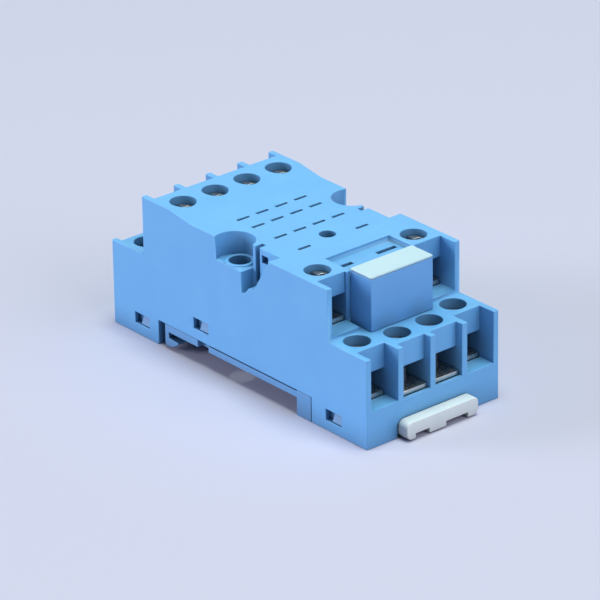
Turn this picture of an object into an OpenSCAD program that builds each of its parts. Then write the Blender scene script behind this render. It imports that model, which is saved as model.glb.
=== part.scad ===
/* [Housing] */
// Length of the housing from the rear end to the front end
body_l = 69.4; // [69:0.1:72]
// Width of the housing across its four poles
body_w = 30.4; // [30.2:0.1:33]
// Height of the seat that the relay stands on
seat_z = 26.9; // [26.5:0.1:28]
// Height of the raised rear terminal tier
rear_top_z = 27.8; // [27.2:0.1:29]
// Height of the low rear terminal tier
rear_low_z = 16.4; // [16:0.1:17]
// Height of the low front terminal tier
front_low_z = 17.0; // [16.6:0.1:17.6]
// Rear face of the raised rear tier, from the rear end
rear_face_x = 9.0; // [8.6:0.1:9.4]
// Front face of the raised front tier, from the rear end
front_face_x = 59.4; // [59:0.1:59.8]
// Thickness of the side walls
wall = 1.1; // [1:0.05:1.2]

/* [Terminals] */
// Distance between neighbouring terminals
pole_pitch = 7.35; // [7.3:0.05:7.5]
// Diameter of the holes over the terminal screws
screw_hole_d = 4.8; // [4.7:0.1:5]
// Diameter of the terminal screw heads
head_d = 4.3; // [4:0.1:4.4]
// Thread diameter of the terminal screws
thread_d = 3.0; // [2.8:0.1:3]
// Height of a wire mouth over its terminal bar
mouth_h = 4.3; // [4.2:0.1:4.4]
// Thickness of the contact sheet
sheet = 0.8; // [0.7:0.1:0.8]

/* [Relay pins] */
// Distance between neighbouring relay pins across the seat
pin_pitch = 4.4; // [4.3:0.1:4.5]
// Width of a relay slot, across the seat
slot_w = 2.8; // [2.7:0.1:3]
// Length of a relay slot, along the seat
slot_l = 0.7; // [0.6:0.05:1]

/* [Rail] */
// Width of the mounting rail that the foot takes
rail_w = 35.0; // [35:0.1:35]
// Height of the recess that the rail's edges lie in
rail_recess_h = 3.4; // [3.3:0.1:3.5]
// How far the clip's tab stands out of the front end
tab_out = 2.5; // [2.2:0.1:2.8]

/* [Hidden] */
$fn = 48;
play = 0.1;
cut = 1;
ramp_x = [16.6, 22.4];
lanes = [-1.5, -0.5, 0.5, 1.5];
overall_l = body_l + tab_out;
half_w = body_w / 2;

// Terminals: [x, lane, top of the bar, direction of the wire mouth, x of the mouth's outer face]
low_bar_z = 7.9;
rear_high_bar_z = rear_top_z - 8.7;
front_high_bar_z = seat_z - 8.4;
inner_step = 2.0;
terminals = concat(
    [for (n = lanes) [15.5, n, rear_high_bar_z, -1, 11.2]],
    [for (n = lanes) [4.9, n, low_bar_z, -1, 1.4]],
    [for (n = lanes) [abs(n) > 1 ? 62.2 : 62.2 + inner_step, n, low_bar_z, 1,
                      abs(n) > 1 ? 65.7 : 68.6]],
    [for (n = [-1.5, 1.5]) [52.0, n, front_high_bar_z, 1, 55.5]]);
tier_top = concat([for (n = lanes) rear_top_z], [for (n = lanes) rear_low_z],
                  [for (n = lanes) front_low_z], [seat_z, seat_z]);
tier_face = concat([for (n = lanes) rear_face_x], [for (n = lanes) 0],
                   [for (n = lanes) body_l], [front_face_x, front_face_x]);
COUNT = len(terminals);

// Relay pins in the order of the terminals: [x, lane, x of the strip's bend at its pin end]
pin_row_x = [26.8, 30.9, 37.0, 43.4];
bend_x = [24.6, 22.5, 44.0, 45.6];
bend_l = 5.0;
pins = concat(
    [for (n = lanes) [pin_row_x[0], n, bend_x[0]]],
    [for (n = lanes) [pin_row_x[1], n, bend_x[1]]],
    [for (n = lanes) [pin_row_x[2], n, bend_x[2]]],
    [for (n = [-1.5, 1.5]) [pin_row_x[3], n, bend_x[3]]]);

// Terminal chamber
lane_w = pole_pitch - 1.2;
chamber_l = 5.4;
plate_t = 0.9;
boss_h = 0.3;
head_h = 1.6;
recess_d = 1.1;
head_gap = 0.05;
roof_over_bar = mouth_h + plate_t + boss_h + head_gap;

// Contacts
pad_w = lane_w - 0.35;
pad_in = 3.0;
pad_back = 0.1;
strip_w = 2.4;
collar_r = 1.95;
collar_h = 0.8;
fork_top_z = 25.2;
fork_reach = 1.1;
leaf_t = 0.4;
low_fork_z = 17.0;
pocket_top_z = 25.4;
fork_pocket = 3.0;

// Base and its snap fits
floor_z = 4.8;
foot_gap = 0.05;
rear_foot_x = 12.75;
hook_x = 14.6;
rail_x = 15.6;
rail_play = 0.2;
front_foot_x = rail_x + rail_w + rail_play;
flush_foot_x = 54.7;
lip_t = 1.0;
seam = 0.2;
core_h = 3.6;
core_w = 5.6;
// Snap windows: [x of the rear edge, lower edge]
windows = [[6.0, 2.1], [22.7, 6.8], [58.5, 1.9]];
window_l = 4.1;
window_h = 2.1;
catch_l = 2.6;
catch_in = 0.25;

// Rail clip
clip_w = 16.0;
clip_t = 1.5;
clip_z = 0.8;
slot_z = [0.6, 2.6];
tab_w = 16.4;
tab_z = [0.3, 3.6];
tab_r = 1.1;

// Mounting pockets, and the clip recesses in front of them
screw_x = 32.8;
screw_y = 12.4;
screw_d = 4.0;
pocket_z = 22.7;
pocket_r = 3.8;
ring_r = 2.7;
ring_h = 0.3;
slot_depth = 2.65;
slot_x = 36.3;
slot_low_z = 18.4;
slit_x = 37.2;
slit_w = 1.1;

// Module block
block_x = [56.0, 61.5];
block_w = 14.2;
notch_w = 3 * pole_pitch - lane_w;
block_top_z = 27.4;
strip_z = seat_z - 1.1;
tag_t = 0.5;

// Moves a piece measured from the rear end to the frame, whose origin is under the middle
module in_frame() {
    translate([-overall_l / 2, 0, 0]) children();
}

// A block between two corners, [x, x], [y, y] and [z, z]
module block(x, y, z) {
    translate([x[0], y[0], z[0]]) cube([x[1] - x[0], y[1] - y[0], z[1] - z[0]]);
}

// The same shape on both long sides
module both_sides() {
    children();
    mirror([0, 1, 0]) children();
}

// A side view drawn in X and Z, given a width across Y
module across(y) {
    translate([0, y[1], 0]) rotate([90, 0, 0]) linear_extrude(y[1] - y[0]) children();
}

// ---- Housing ----

module housing_outline() {
    polygon([
        [0, 0], [0, rear_low_z], [rear_face_x, rear_low_z], [rear_face_x, rear_top_z],
        [ramp_x[0], rear_top_z], [ramp_x[1], seat_z], [front_face_x, seat_z],
        [front_face_x, front_low_z], [body_l, front_low_z], [body_l, 0],
        [flush_foot_x, 0], [flush_foot_x, floor_z], [rear_foot_x, floor_z], [rear_foot_x, 0]
    ]);
}

// Chamber, screw hole, wire mouth and open channel of one terminal
module terminal_space(i) {
    t = terminals[i];
    y = t[1] * pole_pitch;
    bar = t[2];
    roof = bar + roof_over_bar;
    lane = [y - lane_w / 2, y + lane_w / 2];
    inner = t[0] - t[3] * chamber_l / 2;
    face = tier_face[i] + t[3] * cut;
    block([t[0] - chamber_l / 2, t[0] + chamber_l / 2], lane, [floor_z - cut, roof]);
    translate([t[0], y, roof - cut]) cylinder(h = tier_top[i] - roof + 2 * cut, d = screw_hole_d);
    block([min(inner, t[4]), max(inner, t[4])], lane, [bar - sheet, bar + mouth_h]);
    block([min(t[4], face), max(t[4], face)], lane, [bar - sheet, tier_top[i] + cut]);
}

// Shaft that a contact is pushed up from below, with the relay slot over its fork
module contact_shaft(i) {
    p = pins[i];
    y = p[1] * pin_pitch;
    translate([0, 0, floor_z - cut]) linear_extrude(terminals[i][2] - floor_z + cut) contact_plan(i, 0.15);
    block([p[0] - fork_pocket / 2, p[0] + fork_pocket / 2],
          [y - fork_pocket / 2, y + fork_pocket / 2], [floor_z - cut, pocket_top_z]);
    block([p[0] - slot_l / 2, p[0] + slot_l / 2],
          [y - slot_w / 2, y + slot_w / 2], [pocket_top_z - cut, seat_z + cut]);
}

// Pocket for a panel screw's head, and the recess beside it for a relay's retaining clip
module mounting_pocket() {
    back = -half_w + slot_depth;
    translate([screw_x, -half_w + 1.6, pocket_z - ring_h]) cylinder(h = seat_z, r = pocket_r);
    translate([screw_x, -screw_y, 0]) cylinder(h = seat_z, d = screw_d);
    across([-half_w - cut, back]) polygon([
        [screw_x, pocket_z - ring_h], [slot_x, pocket_z - ring_h], [slot_x, slot_low_z],
        [slot_x + 0.8, slot_low_z], [slot_x + 1.9, 19.8], [39.7, 20.1], [43.9, seat_z],
        [43.9, seat_z + cut], [screw_x, seat_z + cut]
    ]);
    block([slit_x, slit_x + slit_w], [back - cut, back + 1.6], [20, seat_z + cut]);
    block([slit_x + 1.7, slit_x + 3.3], [back - cut, back + 2], [24.2, 25.6]);
}

// Raised ring round the hole in the pocket
module pocket_ring() {
    difference() {
        translate([screw_x, -screw_y, pocket_z - ring_h - cut]) cylinder(h = ring_h + cut, r = ring_r);
        translate([screw_x, -screw_y, 0]) cylinder(h = seat_z, d = screw_d);
    }
}

module snap_windows() {
    for (w = windows)
        block([w[0], w[0] + window_l], [-half_w - cut, -half_w + wall + play], [w[1], w[1] + window_h]);
    block([windows[1][0] - 0.5, windows[1][0] + window_l + 0.5],
          [-half_w + wall, -half_w + wall + 1.2], [floor_z - cut, windows[1][1] + window_h + 0.2]);
}

// Dovetail groove that the module block slides down into
module module_groove(grow) {
    linear_extrude(seat_z) polygon([
        [block_x[0] + play, -1.5 - grow], [block_x[0] - 1.3 - grow, -2.3 - grow],
        [block_x[0] - 1.3 - grow, 2.3 + grow], [block_x[0] + play, 1.5 + grow]
    ]);
}

module housing() in_frame() color("#74bdf0") union() {
    difference() {
        across([-half_w, half_w]) housing_outline();
        block([wall, rear_foot_x + cut], [-half_w + wall, half_w - wall], [-cut, floor_z]);
        block([flush_foot_x - cut, body_l - wall], [-half_w + wall, half_w - wall], [-cut, floor_z]);
        block([body_l - wall - cut, body_l + cut], [-tab_w / 2, tab_w / 2], [-cut, slot_z[1]]);
        for (i = [0 : COUNT - 1]) {
            terminal_space(i);
            contact_shaft(i);
        }
        both_sides() {
            mounting_pocket();
            snap_windows();
        }
        block([block_x[0], front_face_x + cut], [-notch_w / 2, notch_w / 2], [front_low_z, seat_z + cut]);
        block([49.4, block_x[0] + cut], [-7.0, 7.6], [strip_z, seat_z + cut]);
        translate([0, 0, front_low_z]) module_groove(play);
        for (y = [[-5.6, -3.0], [2.6, 7.0]]) block([51.4, 52.4], y, [strip_z - 2, strip_z + cut]);
        translate([41.8, 0, seat_z - 4]) cylinder(h = 5, d = 3.0);
    }
    both_sides() pocket_ring();
}

// ---- Base ----

// Snap catch on the side of the base: flat below, sloped above
module catch(w, root) {
    translate([w[0] + window_l - catch_l, 0, 0]) rotate([90, 0, 90]) linear_extrude(catch_l - play) polygon([
        [-root, w[1] + play], [-half_w + catch_in, w[1] + play],
        [-half_w + 0.9, w[1] + window_h - 0.4], [-root, w[1] + window_h - 0.4]
    ]);
}

// Walls that hold a high terminal's bar up, either side of the low strip that passes between
module high_bar_walls(t) {
    y = t[1] * pole_pitch;
    both_faces = [[y - pad_w / 2, y - 2.05], [y + 2.05, y + pad_w / 2]];
    for (f = both_faces) block([t[0] - 2.5, t[0] + 2.5], f, [floor_z - cut, t[2] - sheet]);
}

// Block that holds a low terminal's bar up, cleared for the screw's end
module low_bar_block(t) {
    y = t[1] * pole_pitch;
    block([t[0] - 2.6, t[0] + 2.6], [y - pad_w / 2, y + pad_w / 2], [floor_z - cut, low_bar_z - sheet]);
}

module low_bar_clearance(t) {
    y = t[1] * pole_pitch;
    translate([t[0], y, low_bar_z - sheet - collar_h - play]) cylinder(h = 2, r = collar_r + play);
    translate([t[0], y, 1.6]) cylinder(h = low_bar_z, d = thread_d + 0.6);
}

// Hooked legs that take the rail's rear edge
module rail_hook() {
    across([8, half_w]) polygon([
        [hook_x, floor_z - 0.5], [hook_x, 1.0], [hook_x + 0.5, 0.6], [rail_x + 1.2, 0.9],
        [rail_x + 2.6, 1.8], [rail_x + 2.6, 2.1], [rail_x, rail_recess_h - lip_t - play],
        [rail_x, floor_z - 0.5]
    ]);
}

module base() in_frame() color("#6fa9dc") difference() {
    union() {
        block([wall + foot_gap, rear_foot_x], [-half_w + wall + foot_gap, half_w - wall - foot_gap], [0, floor_z]);
        block([rear_foot_x - cut, hook_x + cut], [-6, 6], [rail_recess_h, floor_z]);
        block([hook_x, front_foot_x + cut], [-half_w, half_w], [rail_recess_h, floor_z]);
        block([front_foot_x, flush_foot_x - play], [-half_w, half_w], [0, floor_z]);
        block([flush_foot_x - cut, body_l - wall - foot_gap],
              [-half_w + wall + foot_gap, half_w - wall - foot_gap], [0, floor_z]);
        both_sides() {
            rail_hook();
            catch(windows[0], half_w - wall - 0.5);
            catch(windows[1], half_w - wall - 1.0);
            catch(windows[2], half_w - wall - 0.5);
            block([windows[1][0], windows[1][0] + window_l], [-half_w + wall + foot_gap, -half_w + wall + 1.0],
                  [floor_z - cut, windows[1][1] + window_h - 0.2]);
        }
        for (i = [0 : 3]) high_bar_walls(terminals[i]);
        for (i = [4 : 11]) low_bar_block(terminals[i]);
        for (i = [12 : 13]) high_bar_walls(terminals[i]);
    }
    for (i = [4 : 11]) low_bar_clearance(terminals[i]);
    both_sides() {
        translate([screw_x, -screw_y, 0]) cylinder(h = 9, d = screw_d);
        block([23.8, 26.8], [-half_w - cut, -half_w + wall], [0, floor_z + cut]);
        block([26.8 - cut, front_foot_x], [-half_w - cut, -half_w + wall / 2], [floor_z - seam, floor_z + cut]);
        block([56.4, 66.8], [-half_w + 2.6, -half_w + 6.2], [-cut, core_h]);
    }
    for (n = lanes) block([8.4, 11.6], [n * pole_pitch - core_w / 2, n * pole_pitch + core_w / 2], [-cut, core_h]);
    block([front_foot_x - cut, body_l], [-clip_w / 2 - play, clip_w / 2 + play], slot_z);
    block([front_foot_x - cut, body_l], [-clip_w / 2 + 1.2, clip_w / 2 - 1.2], [-cut, slot_z[1]]);
}

// ---- Rail clip ----

// Tab seen from its front: a bar with rounded corners
module tab_outline() {
    y = tab_w / 2 - tab_r;
    translate([-y, tab_z[0]]) square([2 * y, tab_z[1] - tab_z[0]]);
    translate([-tab_w / 2, tab_z[0] + tab_r]) square([tab_w, tab_z[1] - tab_z[0] - 2 * tab_r]);
    for (side = [-1, 1], z = [tab_z[0] + tab_r, tab_z[1] - tab_r]) translate([side * y, z]) circle(tab_r);
}

// Slider with two springy arms, a nose for the rail's front edge and a tab to pull
module rail_clip() in_frame() color("#dfe9e6") {
    nose_x = front_foot_x - 1.6;
    difference() {
        union() {
            across([-clip_w / 2 + 1.5, clip_w / 2 - 1.5]) polygon([
                [nose_x, clip_z + 0.5], [nose_x + 0.8, clip_z], [body_l + cut, clip_z],
                [body_l + cut, clip_z + clip_t], [nose_x, clip_z + clip_t - 0.2]
            ]);
            block([front_foot_x + 2, body_l + cut], [-clip_w / 2, clip_w / 2], [clip_z, clip_z + clip_t]);
        }
        both_sides() block([front_foot_x + 2 - cut, 63], [4.9, 5.9], [0, 4]);
        both_sides() block([front_foot_x + 2 - cut, 55], [5, 9], [0, 4]);
        block([56.5, 60.5], [-2.5, 2.5], [0, 4]);
    }
    difference() {
        translate([body_l + play, 0, 0]) rotate([90, 0, 90]) linear_extrude(tab_out - play) tab_outline();
        for (y = [[-6.2, -3.1], [0.8, 5.8]]) block([body_l, body_l + tab_out + cut], y, [-cut, 1.2]);
    }
}

// ---- Module block and its marker tag ----

module module_block() in_frame() color("#6aa9e4") {
    block(block_x, [-block_w / 2, block_w / 2], [front_low_z, block_top_z - tag_t]);
    translate([0, 0, front_low_z + play]) intersection() {
        module_groove(-play);
        block([50, 60], [-5, 5], [0, strip_z - front_low_z - 0.6]);
    }
}

module marker_tag() in_frame() color("#d2f2fa") {
    block(block_x, [-block_w / 2, block_w / 2], [block_top_z - tag_t, block_top_z]);
}

// ---- Contacts ----

// Plan of one contact: terminal pad, bent strip and the foot of its fork
module contact_plan(i, grow) {
    t = terminals[i];
    p = pins[i];
    away = -t[3];
    ty = t[1] * pole_pitch;
    py = p[1] * pin_pitch;
    w = strip_w / 2 + grow;
    pad_x = [t[0] + away * (pad_in + grow), t[4] + away * (pad_back - grow)];
    far_x = p[2] - away * bend_l;
    translate([min(pad_x), ty - pad_w / 2 - grow]) square([max(pad_x) - min(pad_x), pad_w + 2 * grow]);
    polygon([
        [t[0], ty - w], [far_x, ty - w], [p[2], py - w], [p[0], py - w],
        [p[0], py + w], [p[2], py + w], [far_x, ty + w], [t[0], ty + w]
    ]);
    translate([p[0] - fork_reach - leaf_t / 2 - grow, py - w]) square([2 * fork_reach + leaf_t + 2 * grow, 2 * w]);
}

// Middle line of a fork's leaf at a share of its height: straight, pinched in, then flared
function leaf_x(s) = s < 0.75 ? fork_reach - 0.75 * (1 - cos(180 * s / 0.75)) / 2
                              : fork_reach - 0.75 + 0.5 * (1 - cos(90 * (s - 0.75) / 0.25));

module fork_leaf(bottom) {
    steps = [for (k = [0 : 16]) k / 16];
    h = fork_top_z - bottom;
    polygon(concat(
        [for (s = steps) [leaf_x(s) - leaf_t / 2, bottom + s * h]],
        [for (k = [16 : -1 : 0]) [leaf_x(k / 16) + leaf_t / 2, bottom + k / 16 * h]]));
}

module contact(i) in_frame() color("#d9b26a") {
    t = terminals[i];
    p = pins[i];
    ty = t[1] * pole_pitch;
    py = p[1] * pin_pitch;
    bar = t[2];
    fork_z = max(bar - sheet, low_fork_z);
    difference() {
        union() {
            translate([0, 0, bar - sheet]) linear_extrude(sheet) contact_plan(i, 0);
            translate([t[0], ty, bar - sheet - collar_h]) cylinder(h = sheet + collar_h / 2, r = collar_r);
        }
        translate([t[0], ty, bar - 3]) cylinder(h = 4, d = thread_d + 0.2);
    }
    if (bar < fork_z) block([p[0] - sheet / 2, p[0] + sheet / 2], [py - 1.2, py + 1.2], [bar - sheet, fork_z + sheet]);
    translate([p[0], py, 0]) {
        block([-fork_reach - leaf_t / 2, fork_reach + leaf_t / 2], [-1.2, 1.2], [fork_z, fork_z + sheet]);
        across([-1.2, 1.2]) fork_leaf(fork_z);
        mirror([1, 0, 0]) across([-1.2, 1.2]) fork_leaf(fork_z);
    }
}

// ---- Clamp plates ----

// Square plate with turned-up sides, a boss for the screw's head and grooves that grip the wire
module clamp_plate(i) in_frame() color("#c9cdd2") {
    t = terminals[i];
    w = lane_w - 0.6;
    l = chamber_l - 0.6;
    translate([t[0], t[1] * pole_pitch, t[2] + mouth_h]) difference() {
        union() {
            translate([-l / 2, -w / 2, 0]) cube([l, w, plate_t]);
            cylinder(h = plate_t + boss_h, d = head_d - 0.1);
        }
        translate([0, 0, -cut]) cylinder(h = 4, d = thread_d + 0.2);
        for (x = [-1.8, 1.8]) translate([x, 0, 0]) rotate([0, 45, 0]) cube([0.4, 2 * w, 0.4], center = true);
    }
}

// ---- Terminal screws ----

module screw(i) in_frame() color("#b9bfc6") {
    t = terminals[i];
    head_z = t[2] + mouth_h + plate_t + boss_h + head_gap;
    translate([t[0], t[1] * pole_pitch, head_z]) difference() {
        union() {
            cylinder(h = head_h, d = head_d);
            translate([0, 0, -head_z + t[2] - 1.0]) cylinder(h = head_z - t[2] + 1.5, d = thread_d);
        }
        translate([0, 0, head_h]) cube([head_d + cut, 0.8, 2 * recess_d], center = true);
        translate([0, 0, head_h]) cube([0.8, 3.0, 2 * recess_d], center = true);
    }
}

housing();
base();
rail_clip();
module_block();
marker_tag();
for (i = [0 : COUNT - 1]) {
    contact(i);
    clamp_plate(i);
    screw(i);
}
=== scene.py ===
# %% [markdown]
# # A relay socket on a pale table
# A relay socket holds a plug-in relay and joins each of its pins to a screw terminal.
# It is a moulded housing over a moulded base, with stamped contacts, clamp plates and
# screws between them, and a sprung clip underneath that grips a mounting rail.
# The frame already has every part at its true size and place, so this lesson gives
# the parts their rounded edges, their threads and their finishes, and nothing is moved.

# %% Load the frame
import math
import bpy
import bmesh
from mathutils import Matrix, Vector


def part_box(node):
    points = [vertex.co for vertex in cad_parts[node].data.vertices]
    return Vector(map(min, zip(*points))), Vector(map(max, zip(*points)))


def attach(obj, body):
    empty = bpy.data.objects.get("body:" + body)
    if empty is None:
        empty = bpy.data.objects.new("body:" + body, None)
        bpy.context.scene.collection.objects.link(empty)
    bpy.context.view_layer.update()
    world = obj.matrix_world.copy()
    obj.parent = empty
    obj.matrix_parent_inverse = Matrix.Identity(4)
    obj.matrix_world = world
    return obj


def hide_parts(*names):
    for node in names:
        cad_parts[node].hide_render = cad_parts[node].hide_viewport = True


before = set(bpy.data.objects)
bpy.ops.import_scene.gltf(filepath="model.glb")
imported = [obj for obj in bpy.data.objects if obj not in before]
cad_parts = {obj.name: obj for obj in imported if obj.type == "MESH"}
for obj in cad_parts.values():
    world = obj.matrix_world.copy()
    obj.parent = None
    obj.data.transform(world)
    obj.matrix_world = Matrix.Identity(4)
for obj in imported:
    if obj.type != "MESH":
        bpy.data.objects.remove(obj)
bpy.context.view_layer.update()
MM = 0.001

# %% [markdown]
# ## The camera
# The socket is seen from a long way off with a long lens, so its edges stay nearly
# parallel. Azimuth and elevation turn the line of sight, and a small roll levels it.
# The camera's own axes are worked out from those three angles, and the aim is slid a
# little along two of them, which sets the socket's place in the picture.

# %% Place the camera
CAMERA_AZIMUTH = math.radians(49.98)
CAMERA_ELEVATION = math.radians(25.17)
CAMERA_ROLL = math.radians(-0.96)
CAMERA_DISTANCE = 866.4 * MM
CAMERA_LENS = 292.7
CAMERA_CLIP = (0.05, 20)
AIM = Vector((-4.37, 2.33, 10.0)) * MM
AIM_SLIP = 0.178 * MM


def camera_axes(azimuth, elevation, roll):
    back = Vector((math.sin(azimuth) * math.cos(elevation),
                   -math.cos(azimuth) * math.cos(elevation),
                   math.sin(elevation)))
    level = Vector((math.cos(azimuth), math.sin(azimuth), 0))
    upright = back.cross(level)
    right = level * math.cos(roll) + upright * math.sin(roll)
    up = upright * math.cos(roll) - level * math.sin(roll)
    return right, up, back


right, up, back = camera_axes(CAMERA_AZIMUTH, CAMERA_ELEVATION, CAMERA_ROLL)
camera_data = bpy.data.cameras.new("camera")
camera_data.lens = CAMERA_LENS
camera_data.clip_start, camera_data.clip_end = CAMERA_CLIP
camera = bpy.data.objects.new("camera", camera_data)
bpy.context.scene.collection.objects.link(camera)
eye = AIM - AIM_SLIP * (right + up) + CAMERA_DISTANCE * back
turn = Matrix((right, up, back)).transposed().to_4x4()
camera.matrix_world = Matrix.Translation(eye) @ turn
bpy.context.scene.camera = camera
print("camera at", [round(v, 3) for v in eye])

# %% [markdown]
# ## The table and the light
# The table is one pale sheet, wide enough to fill the view. Its colour carries a
# little blue, and the socket's soft shadow falls on it. The world gives an even light
# from all round. To the camera, to reflections and through clear things it shows a
# backdrop of its own instead.

# %% Colours from the values that a paint program shows
def linear(red, green, blue):
    def one(value):
        value = value / 255
        return value / 12.92 if value <= 0.04045 else ((value + 0.055) / 1.055) ** 2.4
    return (one(red), one(green), one(blue), 1)


# %% Lay the table
TABLE_COLOUR = linear(198, 196, 219)
BACKDROP_COLOUR = linear(217, 221, 242)
TABLE_SPAN = 6.0

table_mesh = bpy.data.meshes.new("table")
bm = bmesh.new()
bmesh.ops.create_grid(bm, x_segments=1, y_segments=1, size=TABLE_SPAN / 2)
bm.to_mesh(table_mesh)
bm.free()
table = bpy.data.objects.new("table", table_mesh)
bpy.context.scene.collection.objects.link(table)
table_finish = bpy.data.materials.new("table_finish")
table_finish.use_nodes = True
paper = table_finish.node_tree.nodes["Principled BSDF"]
paper.inputs["Base Color"].default_value = TABLE_COLOUR
paper.inputs["Roughness"].default_value = 0.9
paper.inputs["Specular IOR Level"].default_value = 0.1
table_mesh.materials.append(table_finish)
print("table", TABLE_SPAN, "m across")

# %% Light the room
WORLD_LIGHT = (0.86, 0.92, 1.0, 1)
WORLD_LEVEL = 0.16

world = bpy.data.worlds.new("studio")
world.use_nodes = True
nodes = world.node_tree.nodes
links = world.node_tree.links
light_sky = nodes["Background"]
light_sky.inputs["Color"].default_value = WORLD_LIGHT
light_sky.inputs["Strength"].default_value = WORLD_LEVEL
seen_sky = nodes.new("ShaderNodeBackground")
seen_sky.inputs["Color"].default_value = BACKDROP_COLOUR
path = nodes.new("ShaderNodeLightPath")
seen = nodes.new("ShaderNodeMath")
seen.operation = "ADD"
seen_all = nodes.new("ShaderNodeMath")
seen_all.operation = "ADD"
seen_all.use_clamp = True
choose = nodes.new("ShaderNodeMixShader")
links.new(path.outputs["Is Camera Ray"], seen.inputs[0])
links.new(path.outputs["Is Glossy Ray"], seen.inputs[1])
links.new(seen.outputs[0], seen_all.inputs[0])
links.new(path.outputs["Is Transmission Ray"], seen_all.inputs[1])
links.new(seen_all.outputs[0], choose.inputs[0])
links.new(light_sky.outputs[0], choose.inputs[1])
links.new(seen_sky.outputs[0], choose.inputs[2])
links.new(choose.outputs[0], nodes["World Output"].inputs["Surface"])
bpy.context.scene.world = world
bpy.context.scene.view_settings.view_transform = "Standard"

# %% [markdown]
# Three round softboxes do most of the lighting: one hangs above, a cooler one grazes
# the long side, and a wide one fills the front.

# %% Hang the softboxes
TABLE_TOP = (0, 0, 0)


def softbox(name, place, aim, size, watts, colour):
    data = bpy.data.lights.new(name, "AREA")
    data.shape = "DISK"
    data.size = size
    data.energy = watts
    data.color = colour
    lamp = bpy.data.objects.new(name, data)
    bpy.context.scene.collection.objects.link(lamp)
    lamp.location = place
    lamp.rotation_euler = (Vector(aim) - Vector(place)).to_track_quat("-Z", "Y").to_euler()
    lamp.visible_camera = False
    return lamp


softbox("top_softbox", (0.1, 0.05, 1.6), TABLE_TOP, 0.8, 20.4, (0.88, 1.0, 0.86))
softbox("side_softbox", (-1.1, -1.4, 0.5), TABLE_TOP, 0.9, 21.8, (0.87, 0.9, 1.0))
softbox("front_softbox", (1.35, 0.3, 1.0), TABLE_TOP, 1.5, 13, (0.92, 0.93, 1.0))

# %% [markdown]
# ## Moulded plastic
# Polyamide from a spark-eroded mould is not smooth: it carries a fine, even grain that
# spreads the highlights, and the melt leaves faint clouds in its colour. Both patterns
# read Object coordinates, so they stay on the part in every view. The grain is about a
# fifth of a millimetre, and the clouds are thirty times that.
#
# Deep channels and shafts in a coloured plastic look darker than a few bounces of light
# make them. So the colour is multiplied by a cavity shade: it looks seven millimetres
# round each point, and falls to a third where hardly anything is open.

# %% A plastic recipe
def new_finish(name):
    finish = bpy.data.materials.new(name)
    finish.use_nodes = True
    tree = finish.node_tree
    return finish, tree.nodes, tree.links, tree.nodes["Principled BSDF"]


def noise(nodes, links, place, grain, detail):
    texture = nodes.new("ShaderNodeTexNoise")
    texture.inputs["Scale"].default_value = 1 / grain
    texture.inputs["Detail"].default_value = detail
    links.new(place.outputs["Object"], texture.inputs["Vector"])
    return texture


def spread(nodes, links, source, low, high):
    span = nodes.new("ShaderNodeMapRange")
    span.inputs["From Min"].default_value = NOISE_RANGE[0]
    span.inputs["From Max"].default_value = NOISE_RANGE[1]
    span.inputs["To Min"].default_value = low
    span.inputs["To Max"].default_value = high
    links.new(source.outputs["Fac"], span.inputs["Value"])
    return span


NOISE_RANGE = (0.3, 0.7)
CLOUD_SIZE = 6 * MM
GRAIN_SIZE = 0.22 * MM
GLOSS_SWING = 0.06
GRAIN_STRENGTH = 0.35
CAVITY_REACH = 7 * MM
CAVITY_SHADE = 0.35
CAVITY_RANGE = (0.1, 0.85)
CAVITY_SAMPLES = 6


def moulded(name, colour, cloud_colour, roughness, grain_height):
    finish, nodes, links, shader = new_finish(name)
    place = nodes.new("ShaderNodeTexCoord")
    clouds = noise(nodes, links, place, CLOUD_SIZE, 4)
    tint = nodes.new("ShaderNodeMix")
    tint.data_type = "RGBA"
    tint.inputs[6].default_value = colour
    tint.inputs[7].default_value = cloud_colour
    amount = spread(nodes, links, clouds, 0.0, 1.0)
    links.new(amount.outputs[0], tint.inputs[0])
    cavity = nodes.new("ShaderNodeAmbientOcclusion")
    cavity.samples = CAVITY_SAMPLES
    cavity.inputs["Distance"].default_value = CAVITY_REACH
    openness = nodes.new("ShaderNodeMapRange")
    openness.inputs["From Min"].default_value = CAVITY_RANGE[0]
    openness.inputs["From Max"].default_value = CAVITY_RANGE[1]
    openness.inputs["To Min"].default_value = CAVITY_SHADE
    links.new(cavity.outputs["AO"], openness.inputs["Value"])
    shade = nodes.new("ShaderNodeMix")
    shade.data_type = "RGBA"
    shade.blend_type = "MULTIPLY"
    shade.inputs[0].default_value = 1.0
    links.new(tint.outputs[2], shade.inputs[6])
    links.new(openness.outputs[0], shade.inputs[7])
    links.new(shade.outputs[2], shader.inputs["Base Color"])
    grain = noise(nodes, links, place, GRAIN_SIZE, 3)
    gloss = spread(nodes, links, grain, roughness - GLOSS_SWING, roughness + GLOSS_SWING)
    links.new(gloss.outputs[0], shader.inputs["Roughness"])
    bump = nodes.new("ShaderNodeBump")
    bump.inputs["Strength"].default_value = GRAIN_STRENGTH
    bump.inputs["Distance"].default_value = grain_height
    links.new(grain.outputs["Fac"], bump.inputs["Height"])
    links.new(bump.outputs[0], shader.inputs["Normal"])
    return finish


housing_plastic = moulded("housing_plastic", linear(110, 179, 234),
                          linear(106, 174, 232), 0.46, 0.02 * MM)
base_plastic = moulded("base_plastic", linear(103, 159, 212),
                       linear(100, 156, 209), 0.5, 0.02 * MM)
block_plastic = moulded("block_plastic", linear(108, 172, 232),
                        linear(104, 167, 228), 0.42, 0.015 * MM)
tag_plastic = moulded("tag_plastic", linear(190, 216, 228),
                      linear(184, 214, 227), 0.35, 0.01 * MM)
clip_plastic = moulded("clip_plastic", linear(231, 238, 240),
                       linear(225, 234, 238), 0.4, 0.01 * MM)
print("plastics", [m.name for m in bpy.data.materials if m.name.endswith("plastic")])

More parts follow.
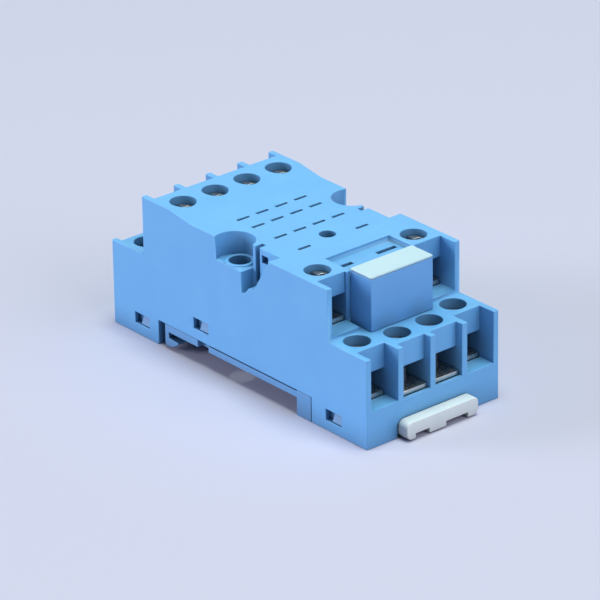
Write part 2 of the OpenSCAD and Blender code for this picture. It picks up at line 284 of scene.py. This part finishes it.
# %% [markdown]
# ## Stamped and plated metal
# The contacts are stamped from sprung bronze and tin-plated, and the plates and screws
# are zinc-plated steel. Plating follows the rolled or turned surface under it, so the
# gloss comes and goes in fine streaks.

# %% A metal recipe
STREAK_SIZE = 0.4 * MM
STREAK_STRENGTH = 0.25
STREAK_HEIGHT = 0.004 * MM
STREAK_GLOSS_DOWN = 0.07
STREAK_GLOSS_UP = 0.09


def plated(name, colour, dull_colour, roughness, streak):
    finish, nodes, links, shader = new_finish(name)
    shader.inputs["Metallic"].default_value = 1.0
    place = nodes.new("ShaderNodeTexCoord")
    stretch = nodes.new("ShaderNodeMapping")
    stretch.inputs["Scale"].default_value = streak
    links.new(place.outputs["Object"], stretch.inputs["Vector"])
    streaks = nodes.new("ShaderNodeTexNoise")
    streaks.inputs["Scale"].default_value = 1 / STREAK_SIZE
    streaks.inputs["Detail"].default_value = 3
    links.new(stretch.outputs[0], streaks.inputs["Vector"])
    tint = nodes.new("ShaderNodeMix")
    tint.data_type = "RGBA"
    tint.inputs[6].default_value = colour
    tint.inputs[7].default_value = dull_colour
    amount = spread(nodes, links, streaks, 0.0, 1.0)
    links.new(amount.outputs[0], tint.inputs[0])
    links.new(tint.outputs[2], shader.inputs["Base Color"])
    gloss = spread(nodes, links, streaks, roughness - STREAK_GLOSS_DOWN,
                   roughness + STREAK_GLOSS_UP)
    links.new(gloss.outputs[0], shader.inputs["Roughness"])
    bump = nodes.new("ShaderNodeBump")
    bump.inputs["Strength"].default_value = STREAK_STRENGTH
    bump.inputs["Distance"].default_value = STREAK_HEIGHT
    links.new(streaks.outputs["Fac"], bump.inputs["Height"])
    links.new(bump.outputs[0], shader.inputs["Normal"])
    return finish


ALONG_X = (0.3, 1, 1)
ALONG_Z = (1, 1, 0.3)
contact_metal = plated("contact_metal", linear(214, 214, 208),
                       linear(196, 196, 190), 0.3, ALONG_X)
clamp_metal = plated("clamp_metal", linear(196, 202, 206),
                     linear(170, 178, 186), 0.34, ALONG_X)
screw_metal = plated("screw_metal", linear(176, 180, 182),
                     linear(146, 152, 156), 0.42, ALONG_Z)
print("materials", [m.name for m in bpy.data.materials])

# %% [markdown]
# ## Rounded edges
# No moulded edge is sharp: a mould cut by a round tool leaves a small radius, and that
# radius is what catches the light along every edge. The frame's meshes are triangles
# that only touch, so a copy is merged and its flat faces are joined again. A flat face
# that runs round a hole is then split into faces that bulge nowhere inwards, because a
# face with a dented outline can't be cut into triangles safely. The outer edges are
# bevelled, and a last merge takes out the edges of no length that bevels leave where
# they meet. A rounded copy then stands for the node that it came from: it rides on the
# node's body, takes on its finish, and the node is hidden.

# %% A rounded copy of a node
SEAM_GAP = 0.002 * MM
LEFTOVER = 0.001 * MM
FLAT_WITHIN = math.radians(0.5)
SHARP_OVER = math.radians(30)
SMOOTH_BELOW = 50


def rounded_copy(node, name, radius, segments=2, reshape=None):
    bm = bmesh.new()
    bm.from_mesh(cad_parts[node].data)
    bmesh.ops.remove_doubles(bm, verts=bm.verts, dist=SEAM_GAP)
    if reshape:
        reshape(bm)
    bmesh.ops.dissolve_limit(bm, angle_limit=FLAT_WITHIN, verts=bm.verts, edges=bm.edges)
    bmesh.ops.connect_verts_concave(bm, faces=bm.faces[:])
    outer = [e for e in bm.edges if e.is_manifold and e.is_convex
             and e.calc_face_angle(0) > SHARP_OVER]
    bmesh.ops.bevel(bm, geom=outer, offset=radius, segments=segments, profile=0.5,
                    affect="EDGES", clamp_overlap=False, material=-1)
    bmesh.ops.remove_doubles(bm, verts=bm.verts, dist=LEFTOVER)
    mesh = bpy.data.meshes.new(name)
    bm.to_mesh(mesh)
    bm.free()
    piece = bpy.data.objects.new(name, mesh)
    bpy.context.scene.collection.objects.link(piece)
    return piece


def smooth(piece, limit=SMOOTH_BELOW):
    for face in piece.data.polygons:
        face.use_smooth = True
    piece.data.set_sharp_from_angle(angle=math.radians(limit))
    flat_first = piece.modifiers.new("flat_first", "WEIGHTED_NORMAL")
    flat_first.keep_sharp = True


def finish_piece(piece, material, slot, body, *stands_for):
    piece.data.materials.clear()
    piece.data.materials.append(material)
    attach(piece, body)
    if stands_for:
        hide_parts(*stands_for)
    print(piece.name, len(piece.data.polygons), "faces")


# %% [markdown]
# The two inner wire mouths at the front have a thin wall over them, a little further
# back than the pads of their contacts. The wall's outer face is the one flat face
# there, so its corners are found by their place and moved back together.

# %% The wall over the inner front mouths
INNER_FACE_BACK = 0.9 * MM
PAD_BEHIND_WALL = 0.1 * MM
LANE_MARGIN = 0.5 * MM
WALL_LOW_SHARE = 0.4
SAME_PLACE = 0.01 * MM


def set_inner_walls_back(bm):
    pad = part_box("contact_10")
    face_x = pad[1][0] + PAD_BEHIND_WALL
    lane_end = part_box("contact_11")[1][1] + LANE_MARGIN
    moved = [v for v in bm.verts if abs(v.co.x - face_x) < SAME_PLACE
             and abs(v.co.y) < lane_end and v.co.z > pad[1][2] * WALL_LOW_SHARE]
    for vert in moved:
        vert.co.x -= INNER_FACE_BACK
    print("wall corners moved", len(moved))


# %% The housing and the base
MOULDED_RADIUS = 0.15 * MM
BASE_RADIUS = 0.08 * MM
housing_shell = rounded_copy("housing", "housing_shell", MOULDED_RADIUS, 3,
                             set_inner_walls_back)
smooth(housing_shell)
finish_piece(housing_shell, housing_plastic, "housing_plastic", "socket", "housing")
base_shell = rounded_copy("base", "base_shell", BASE_RADIUS)
smooth(base_shell)
finish_piece(base_shell, base_plastic, "base_plastic", "socket", "base")

# %% The clip, the block and its tag
BLOCK_RADIUS = 0.2 * MM
clip_slider = rounded_copy("rail_clip", "clip_slider", MOULDED_RADIUS, 3)
smooth(clip_slider)
finish_piece(clip_slider, clip_plastic, "clip_plastic", "rail_clip", "rail_clip")
block_body = rounded_copy("module_block", "block_body", BLOCK_RADIUS, 3)
smooth(block_body)
finish_piece(block_body, block_plastic, "block_plastic", "socket", "module_block")
tag_plate = rounded_copy("marker_tag", "tag_plate", BLOCK_RADIUS, 3)
smooth(tag_plate)
finish_piece(tag_plate, tag_plastic, "tag_plastic", "socket", "marker_tag")

# %% [markdown]
# ## Screw threads
# A terminal screw has a fine M3 thread: a groove that climbs half a millimetre a turn.
# One saw-tooth line is drawn up the shank and spun once round while it climbs by one
# pitch, so every tooth ends where the next began. The tube is then cut square at both
# ends and closed. Under it, the copied shank is drawn in to a core.

# %% Wind a thread
PITCH = 0.5 * MM
CREST = 1.5 * MM
ROOT = 1.22 * MM
CORE = 1.1 * MM
TURN_STEPS = 28
TOOTH = ((0.0, ROOT), (0.36, CREST), (0.5, CREST), (0.86, ROOT))
LEAD_IN = 1.5 * PITCH
SPARE_TURNS = 3
TURN_SEAM_GAP = 0.004 * MM
THREAD_SMOOTH_BELOW = 40


def wind_thread(name, x, y, low, high):
    bm = bmesh.new()
    turns = int((high - low) / PITCH) + SPARE_TURNS
    line = []
    for turn in range(turns):
        foot = low - LEAD_IN + turn * PITCH
        for share, radius in TOOTH:
            line.append(bm.verts.new((x + radius, y, foot + share * PITCH)))
    line.append(bm.verts.new((x + ROOT, y, low - LEAD_IN + turns * PITCH)))
    edges = [bm.edges.new(pair) for pair in zip(line, line[1:])]
    bmesh.ops.spin(bm, geom=line + edges, cent=(x, y, 0), axis=(0, 0, 1), angle=math.tau,
                   dvec=(0, 0, PITCH / TURN_STEPS), steps=TURN_STEPS, use_merge=False)
    bmesh.ops.remove_doubles(bm, verts=bm.verts, dist=TURN_SEAM_GAP)
    for height, side in ((low, -1), (high, 1)):
        bmesh.ops.bisect_plane(bm, geom=bm.verts[:] + bm.edges[:] + bm.faces[:],
                               plane_co=(0, 0, height), plane_no=(0, 0, side),
                               clear_outer=True)
        rim = [e for e in bm.edges if e.is_boundary
               and all(abs(v.co.z - height) < SAME_PLACE for v in e.verts)]
        bmesh.ops.contextual_create(bm, geom=rim)
    bmesh.ops.remove_doubles(bm, verts=bm.verts, dist=LEFTOVER)
    bmesh.ops.recalc_face_normals(bm, faces=bm.faces)
    open_edges = len([e for e in bm.edges if not e.is_manifold])
    mesh = bpy.data.meshes.new(name)
    bm.to_mesh(mesh)
    bm.free()
    thread = bpy.data.objects.new(name, mesh)
    bpy.context.scene.collection.objects.link(thread)
    return thread, open_edges


def draw_in_shank(x, y, head_low):
    def reshape(bm):
        for vert in bm.verts:
            across = Vector((vert.co.x - x, vert.co.y - y))
            if vert.co.z < head_low - SAME_PLACE and across.length > CORE:
                across *= CORE / across.length
                vert.co.x = x + across.x
                vert.co.y = y + across.y
    return reshape


# %% The contacts, the clamp plates and the screws
HEAD_HEIGHT = 1.6 * MM
THREAD_OFF_TIP = 0.02 * MM
THREAD_INTO_HEAD = 0.05 * MM
STRIP_RADIUS = 0.05 * MM
PLATE_RADIUS = 0.06 * MM
SCREW_RADIUS = 0.08 * MM
terminal_count = len([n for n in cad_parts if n.startswith("contact_")])
for k in range(1, terminal_count + 1):
    strip = rounded_copy(f"contact_{k}", f"contact_strip_{k}", STRIP_RADIUS)
    smooth(strip)
    finish_piece(strip, contact_metal, "contact_metal", "socket", f"contact_{k}")
    plate = rounded_copy(f"clamp_plate_{k}", f"wire_clamp_{k}", PLATE_RADIUS)
    smooth(plate)
    finish_piece(plate, clamp_metal, "clamp_metal", f"clamp_{k}", f"clamp_plate_{k}")
    low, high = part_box(f"screw_{k}")
    x = (low[0] + high[0]) / 2
    y = (low[1] + high[1]) / 2
    head_low = high[2] - HEAD_HEIGHT
    screw = rounded_copy(f"screw_{k}", f"clamp_screw_{k}", SCREW_RADIUS, 2,
                         draw_in_shank(x, y, head_low))
    smooth(screw)
    thread, open_edges = wind_thread(f"screw_thread_{k}", x, y, low[2] + THREAD_OFF_TIP,
                                     head_low + THREAD_INTO_HEAD)
    smooth(thread, THREAD_SMOOTH_BELOW)
    finish_piece(thread, screw_metal, "screw_metal", f"terminal_screw_{k}")
    if open_edges:
        print("open edges", thread.name, open_edges)
    finish_piece(screw, screw_metal, "screw_metal", f"terminal_screw_{k}", f"screw_{k}")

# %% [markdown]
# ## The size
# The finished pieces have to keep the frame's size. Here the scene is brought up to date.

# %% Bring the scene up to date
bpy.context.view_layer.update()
